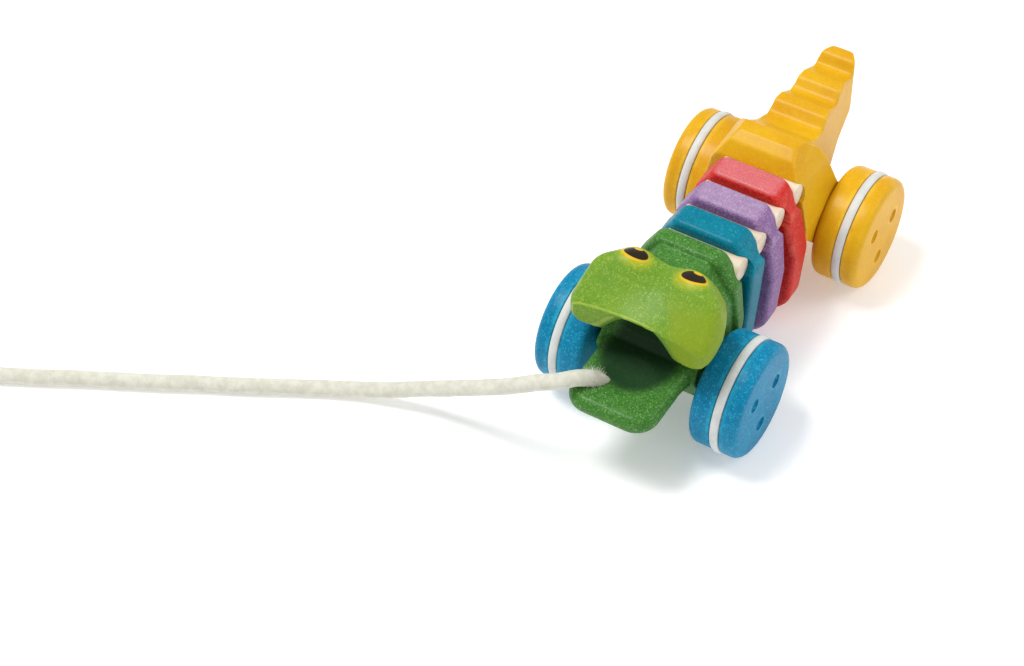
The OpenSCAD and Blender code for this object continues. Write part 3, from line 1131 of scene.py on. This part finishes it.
UPPER_REAR_X = 54
SNOUT_X = 82.5
UPPER_HALF_WIDE = [
    (54, 25.5), (58, 28.5), (62, 30.5), (66, 31.6), (72, 32), (78, 31.8), (81, 30.8), (82.6, 28.5),
]
LOBE_BOTTOM = [(54, 69.8), (58, 67.8), (66, 60.5), (74, 58.2), (81, 58.2), (83, 59)]
LOBE_ROUND = 4.0
ARCH_HALF_WIDE = 14
ARCH_RISE = 10.5
FLARE_LENGTH = 6
FLARE_WIDENS = 8
FLARE_RAISES = 10
CHEEK_INSET = 0.1
THINNEST = 0.8
# Heights of the upper jaw's top at each x, at these shares of the way from its middle to its side.
ACROSS = (0, 0.2, 0.4, 0.6, 0.78, 0.91, 1)
TOP_HEIGHTS = {
    54: (79.0, 80.3, 82.2, 82.0, 79.2, 75.5, 71.5),
    58: (80.0, 81.8, 83.8, 83.2, 80.2, 76.0, 70.5),
    62: (79.8, 82.0, 84.2, 84.0, 81.6, 77.8, 71.0),
    65: (79.2, 81.0, 82.8, 82.9, 81.2, 78.2, 71.0),
    70: (77.4, 78.2, 79.2, 79.3, 78.3, 76.0, 70.0),
    76: (74.8, 75.0, 75.2, 75.0, 74.2, 72.6, 68.5),
    83: (71.8, 71.3, 70.6, 69.8, 68.6, 67.6, 66.2),
}


def top_height(x, share):
    """The height of the upper jaw's top, from its middle (share 0) to its side (share 1)."""
    rows = [(place, curve_at(share, list(zip(ACROSS, row)))) for place, row in TOP_HEIGHTS.items()]
    return curve_at(x, rows)


def arch_height(x, y, bottom):
    """The height of the mouth's arch, which flares out near the front."""
    share = max(0.0, min(1.0, (x - (SNOUT_X - FLARE_LENGTH)) / FLARE_LENGTH))
    flare = 1 - math.sqrt(1 - share**2)
    half = ARCH_HALF_WIDE + FLARE_WIDENS * flare
    rise = ARCH_RISE + FLARE_RAISES * flare
    if abs(y) >= half:
        return bottom
    return bottom + rise * (1 - (y / half) ** 2) ** (1 + 0.3 * flare)


def upper_ring(x):
    """One cross-section of the upper jaw: over the top, down a cheek, back under the arch."""
    steps = 96
    wide = line_at(x, UPPER_HALF_WIDE)
    bottom = line_at(x, LOBE_BOTTOM)
    ring = []
    for k in range(steps + 1):
        share = math.sin(math.pi * (k / steps - 0.5))
        ring.append((x, wide * share, max(top_height(x, abs(share)), bottom + 1)))
    for k in range(steps + 1):
        y = (wide - CHEEK_INSET) * (1 - 2 * k / steps)
        z = arch_height(x, y, bottom) if x > THROAT_X else bottom
        beyond = max(0.0, abs(y) - (wide - LOBE_ROUND))
        z += LOBE_ROUND - math.sqrt(LOBE_ROUND**2 - beyond**2)
        ring.append((x, y, min(z, top_height(x, abs(y) / wide) - THINNEST)))
    return ring


def make_upper_jaw():
    """The upper jaw: an arched wedge with two mounds that carry the painted eyes."""
    steps = 57
    stations = [UPPER_REAR_X + (SNOUT_X - UPPER_REAR_X) * k / steps for k in range(steps + 1)]
    ob = loft("upper_jaw_painted", [upper_ring(x) for x in stations])
    soften(ob, voxel=0.36, passes=3)
    finish_piece(ob, LIME, "head", "lime_paint", "upper_jaw", "jaw_pins")


def jaw_layer(inset):
    """The outline of the lower jaw's plate, seen from above, drawn in by an inset."""
    corner_steps = 10
    wide = JAW_HALF_WIDE - inset
    corner = JAW_CORNER - inset
    tip = JAW_TIP_X - inset
    half = [(60, inset - 24), (67, inset - 24), (71, inset - 22.8), (75, inset - 21), (80, -wide)]
    for s in range(corner_steps + 1):
        turn = math.radians(-90 + 90 * s / corner_steps)
        half.append((tip - corner + corner * math.cos(turn), corner - wide + corner * math.sin(turn)))
    return half + [(x, -y) for x, y in reversed(half)]


def jaw_plate():
    """The flat part of the lower jaw, with a round edge and a shallow hollow in its floor."""
    steps = 6
    middle = (JAW_TOP_Z + JAW_UNDER_Z) / 2
    rings = []
    for step in range(-steps, steps + 1):
        turn = math.pi / 2 * step / steps
        inset = JAW_EDGE * (1 - math.cos(turn))
        z = middle + (JAW_TOP_Z - middle) * math.sin(turn)
        rings.append([(x, y, z) for x, y in jaw_layer(inset)])
    plate = loft("plate", rings)
    bpy.ops.mesh.primitive_uv_sphere_add(
        segments=96,
        ring_count=64,
        radius=HOLLOW_RADIUS * MM,
        location=(HOLLOW_X * MM, 0, (JAW_TOP_Z - HOLLOW_DEPTH + HOLLOW_RADIUS) * MM),
    )
    return combine(plate, bpy.context.object, "DIFFERENCE")


def make_lower_jaw():
    """Lower jaw, neck block and neck ring in one piece of wood."""
    side = rounded(
        [
            (34, 12), (58, 12), (66, 22), (72, JAW_UNDER_Z + 1), (74, JAW_UNDER_Z + 4),
            (THROAT_X + 5, JAW_TOP_Z - 1), (THROAT_X + 1, JAW_TOP_Z + 4), (THROAT_X + 0.5, 61),
            (58, 68.2), (52, 72.8), (34, 74.8),
        ],
        radius=3.0,
    )
    ob = prism("lower_jaw_painted", side, "y", -BLANK_HALF_WIDE, BLANK_HALF_WIDE)
    section = hull_ring([(8, 69.8, 5), (10, 54, 12), (10, 26, 14)], inset=0, count=120)
    combine(ob, prism("cutter", section, "x", 20, 120), "INTERSECT")
    ring_rear = PIVOTS[0] + HALF_GAP
    ring = body_slab("neck_ring", ring_rear, ring_rear + NECK_RING_LENGTH, NECK_HALF_WIDE)
    combine(ob, ring, "UNION")
    combine(ob, jaw_plate(), "UNION")
    soften(ob, voxel=0.45, passes=6)
    combine(ob, dowel_seat(PIVOTS[0]), "DIFFERENCE")
    combine(ob, axle_bore("front"), "DIFFERENCE")
    low, high = Vector(ROUTE[0]), Vector(CORD_EXIT)
    past = (high - low) * 0.4
    combine(ob, tube("cutter", [low - past, high + past], HOLE_RADIUS, sides=40), "DIFFERENCE")
    smooth_by_angle(ob, 40)
    finish_piece(ob, GREEN, "head", "green_paint", "lower_jaw")


make_upper_jaw()
make_lower_jaw()


# ---------------------------------------------------------------- tail

TAIL_FRONT_X = PIVOTS[3] - HALF_GAP
TAIL_TIP_X = -106.5


def make_tail():
    """Hips and tail in one piece of wood, with three steps down the tail's back."""
    hips_side = rounded(
        [
            (TAIL_FRONT_X, 40), (TAIL_FRONT_X, 70.5), (-25.5, 76.5), (-31, 80), (-38, 79), (-45, 71.5),
            (-52, 49), (-63, 37), (-63, 19), (-58, 15), (-44, 15),
        ],
        radius=1.8,
    )
    hips = prism("tail_painted", hips_side, "y", -BLANK_HALF_WIDE, BLANK_HALF_WIDE)
    section = hull_ring([(11.5, 76.5, 3.5), (16, 65, 6), (18, 45, 8), (16.5, 24, 9)], inset=0, count=120)
    combine(hips, prism("cutter", section, "x", -70, TAIL_FRONT_X), "INTERSECT")
    tail_side = rounded(
        [
            (-36, 78.5), (-42, 75.5), (-48, 71), (-57, 68), (-62, 72.6), (-66.5, 73), (-75, 68.2),
            (-80, 72.6), (-84.5, 73), (-94.5, 68.4), (-98, 73.4), (-102, 74.8), (-105.5, 73),
            (TAIL_TIP_X, 67), (-104, 56), (-98, 47), (-85, 40), (-75, 30), (-62, 20), (-50, 20), (-36, 40),
        ],
        radius=3.6,
    )
    tail = prism("tail_blank", tail_side, "y", -20, 20)
    plan = rounded(
        [
            (-30, -13.6), (-48, -13.6), (-66, -11.8), (-84, -9.6), (-98, -8.4), (TAIL_TIP_X, -3.5),
            (TAIL_TIP_X, 3.5), (-98, 9), (-84, 10.2), (-66, 12.6), (-48, 14.5), (-30, 14.5),
        ],
        radius=9.5,
    )
    combine(tail, prism("cutter", plan, "z", 0, 100), "INTERSECT")
    combine(hips, tail, "UNION")
    soften(hips, voxel=0.5, passes=14)
    combine(hips, dowel_seat(PIVOTS[3]), "DIFFERENCE")
    combine(hips, axle_bore("rear"), "DIFFERENCE")
    smooth_by_angle(hips, 40)
    finish_piece(hips, YELLOW, "tail", "yellow_paint", "tail_body", "tail_plug")


make_tail()


# ---------------------------------------------------------------- frame nodes that stay

for name in (
    "link_cord_neck",
    "link_cord_teal",
    "link_cord_purple",
    "link_cord_red",
    "link_cord_tail",
    "link_knot_front",
    "link_knot_rear",
):
    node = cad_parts[name]
    node.data.materials.clear()
    node.data.materials.append(COTTON)


# ---------------------------------------------------------------- stage and light

FLOOR_HALF = 6000
FLOOR_DROP = 0.2
FLOOR_GLOW = 0.25
WORLD_STRENGTH = 0.5
LIGHT_AIM = Vector((0, 0, 0.03))


def make_floor():
    """A plain pale floor."""
    g = Graph("floor_paper")
    tone = g.noise(6, 2, 0.5)
    color = g.mix(g.ramp(tone, 0.2, 0.8), (0.95, 0.95, 0.95), (0.97, 0.97, 0.97))
    g.fix("Specular IOR Level", 0.1)
    g.fix("Emission Color", (1, 1, 1, 1))
    g.fix("Emission Strength", FLOOR_GLOW)
    corners = [(x * FLOOR_HALF, y * FLOOR_HALF, 0) for x, y in ((-1, -1), (1, -1), (1, 1), (-1, 1))]
    floor = make_object("floor", corners, [(0, 1, 2, 3)])
    floor.location.z = -FLOOR_DROP * MM
    floor.data.materials.append(g.finish(color, 0.9))


def make_light(name, place, size, power):
    """A soft square light, its place and size in metres, that shines on the toy."""
    data = bpy.data.lights.new(name, "AREA")
    data.size = size
    data.energy = power
    light = bpy.data.objects.new(name, data)
    light.location = place
    light.rotation_mode = "QUATERNION"
    light.rotation_quaternion = (Vector(place) - LIGHT_AIM).to_track_quat("Z", "Y")
    scene.collection.objects.link(light)


def make_world():
    """Even white light from all around."""
    world = bpy.data.worlds.new("studio")
    world.use_nodes = True
    sky = world.node_tree.nodes["Background"]
    sky.inputs["Color"].default_value = (1, 1, 1, 1)
    sky.inputs["Strength"].default_value = WORLD_STRENGTH
    scene.world = world


make_floor()
make_world()
make_light("key", place=(0.22, -0.5, 1.3), size=0.5, power=14)
make_light("left", place=(-0.5, 0.9, 0.8), size=0.7, power=5)
scene.view_settings.view_transform = "Standard"
